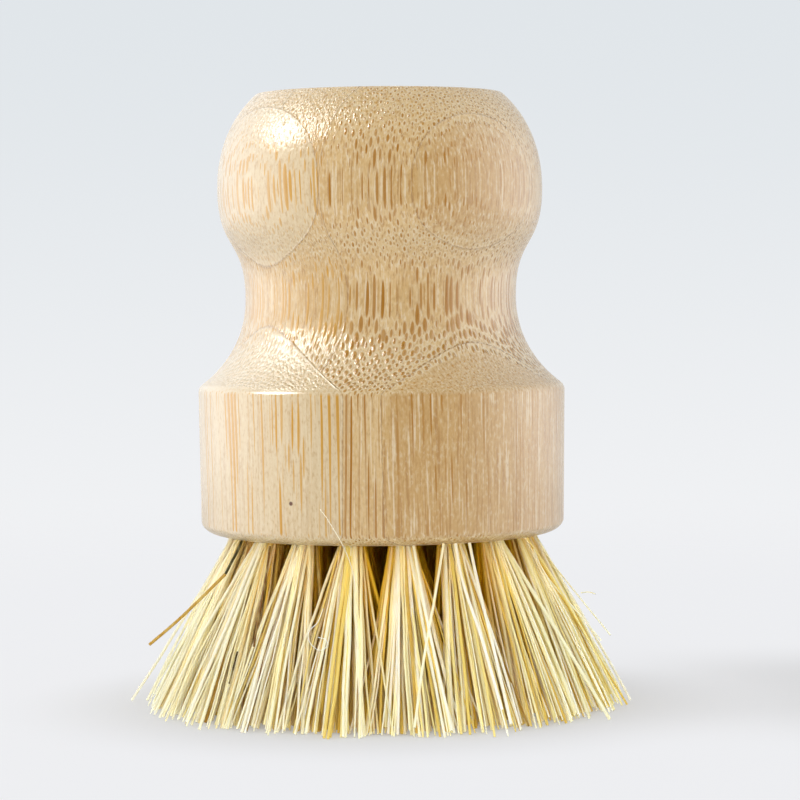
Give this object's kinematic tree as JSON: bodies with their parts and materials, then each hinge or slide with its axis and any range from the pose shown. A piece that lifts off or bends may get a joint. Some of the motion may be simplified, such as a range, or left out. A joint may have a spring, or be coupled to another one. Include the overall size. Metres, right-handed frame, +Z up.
{
  "type": "palm brush",
  "caption": "Round palm brush: turned bamboo knob handle with a cylindrical block, drilled and set with splayed tufts of pale plant fibre trimmed flat.",
  "frame": {"origin": "on the turning axis, in the plane of the trimmed bristle tips that the brush stands on", "axes": "+Z up the turning axis from the tips to the flat top of the knob; -Y is the side that the picture shows, +X to its right"},
  "size_m": [0.068, 0.0676, 0.0917],
  "materials": {
    "lacquered_bamboo": "satin",
    "plant_fibre": "matte",
    "staple_wire": "satin"
  },
  "bodies": {
    "root": {"handle": "lacquered_bamboo", "staple_outer_01": "staple_wire", "staple_outer_02": "staple_wire", "staple_outer_03": "staple_wire", "staple_outer_04": "staple_wire", "staple_outer_05": "staple_wire", "staple_outer_06": "staple_wire", "staple_outer_07": "staple_wire", "staple_outer_08": "staple_wire", "staple_outer_09": "staple_wire", "staple_outer_10": "staple_wire", "staple_outer_11": "staple_wire", "staple_outer_12": "staple_wire", "staple_outer_13": "staple_wire", "staple_outer_14": "staple_wire", "staple_outer_15": "staple_wire", "staple_outer_16": "staple_wire", "staple_outer_17": "staple_wire", "staple_outer_18": "staple_wire", "tuft_centre": "plant_fibre", "tuft_inner_01": "plant_fibre", "tuft_inner_02": "plant_fibre", "tuft_inner_03": "plant_fibre", "tuft_inner_04": "plant_fibre", "tuft_inner_05": "plant_fibre", "tuft_inner_06": "plant_fibre", "tuft_middle_01": "plant_fibre", "tuft_middle_02": "plant_fibre", "tuft_middle_03": "plant_fibre", "tuft_middle_04": "plant_fibre", "tuft_middle_05": "plant_fibre", "tuft_middle_06": "plant_fibre", "tuft_middle_07": "plant_fibre", "tuft_middle_08": "plant_fibre", "tuft_middle_09": "plant_fibre", "tuft_middle_10": "plant_fibre", "tuft_middle_11": "plant_fibre", "tuft_middle_12": "plant_fibre", "tuft_outer_01": "plant_fibre", "tuft_outer_02": "plant_fibre", "tuft_outer_03": "plant_fibre", "tuft_outer_04": "plant_fibre", "tuft_outer_05": "plant_fibre", "tuft_outer_06": "plant_fibre", "tuft_outer_07": "plant_fibre", "tuft_outer_08": "plant_fibre", "tuft_outer_09": "plant_fibre", "tuft_outer_10": "plant_fibre", "tuft_outer_11": "plant_fibre", "tuft_outer_12": "plant_fibre", "tuft_outer_13": "plant_fibre", "tuft_outer_14": "plant_fibre", "tuft_outer_15": "plant_fibre", "tuft_outer_16": "plant_fibre", "tuft_outer_17": "plant_fibre", "tuft_outer_18": "plant_fibre"}
  },
  "joints": []
}
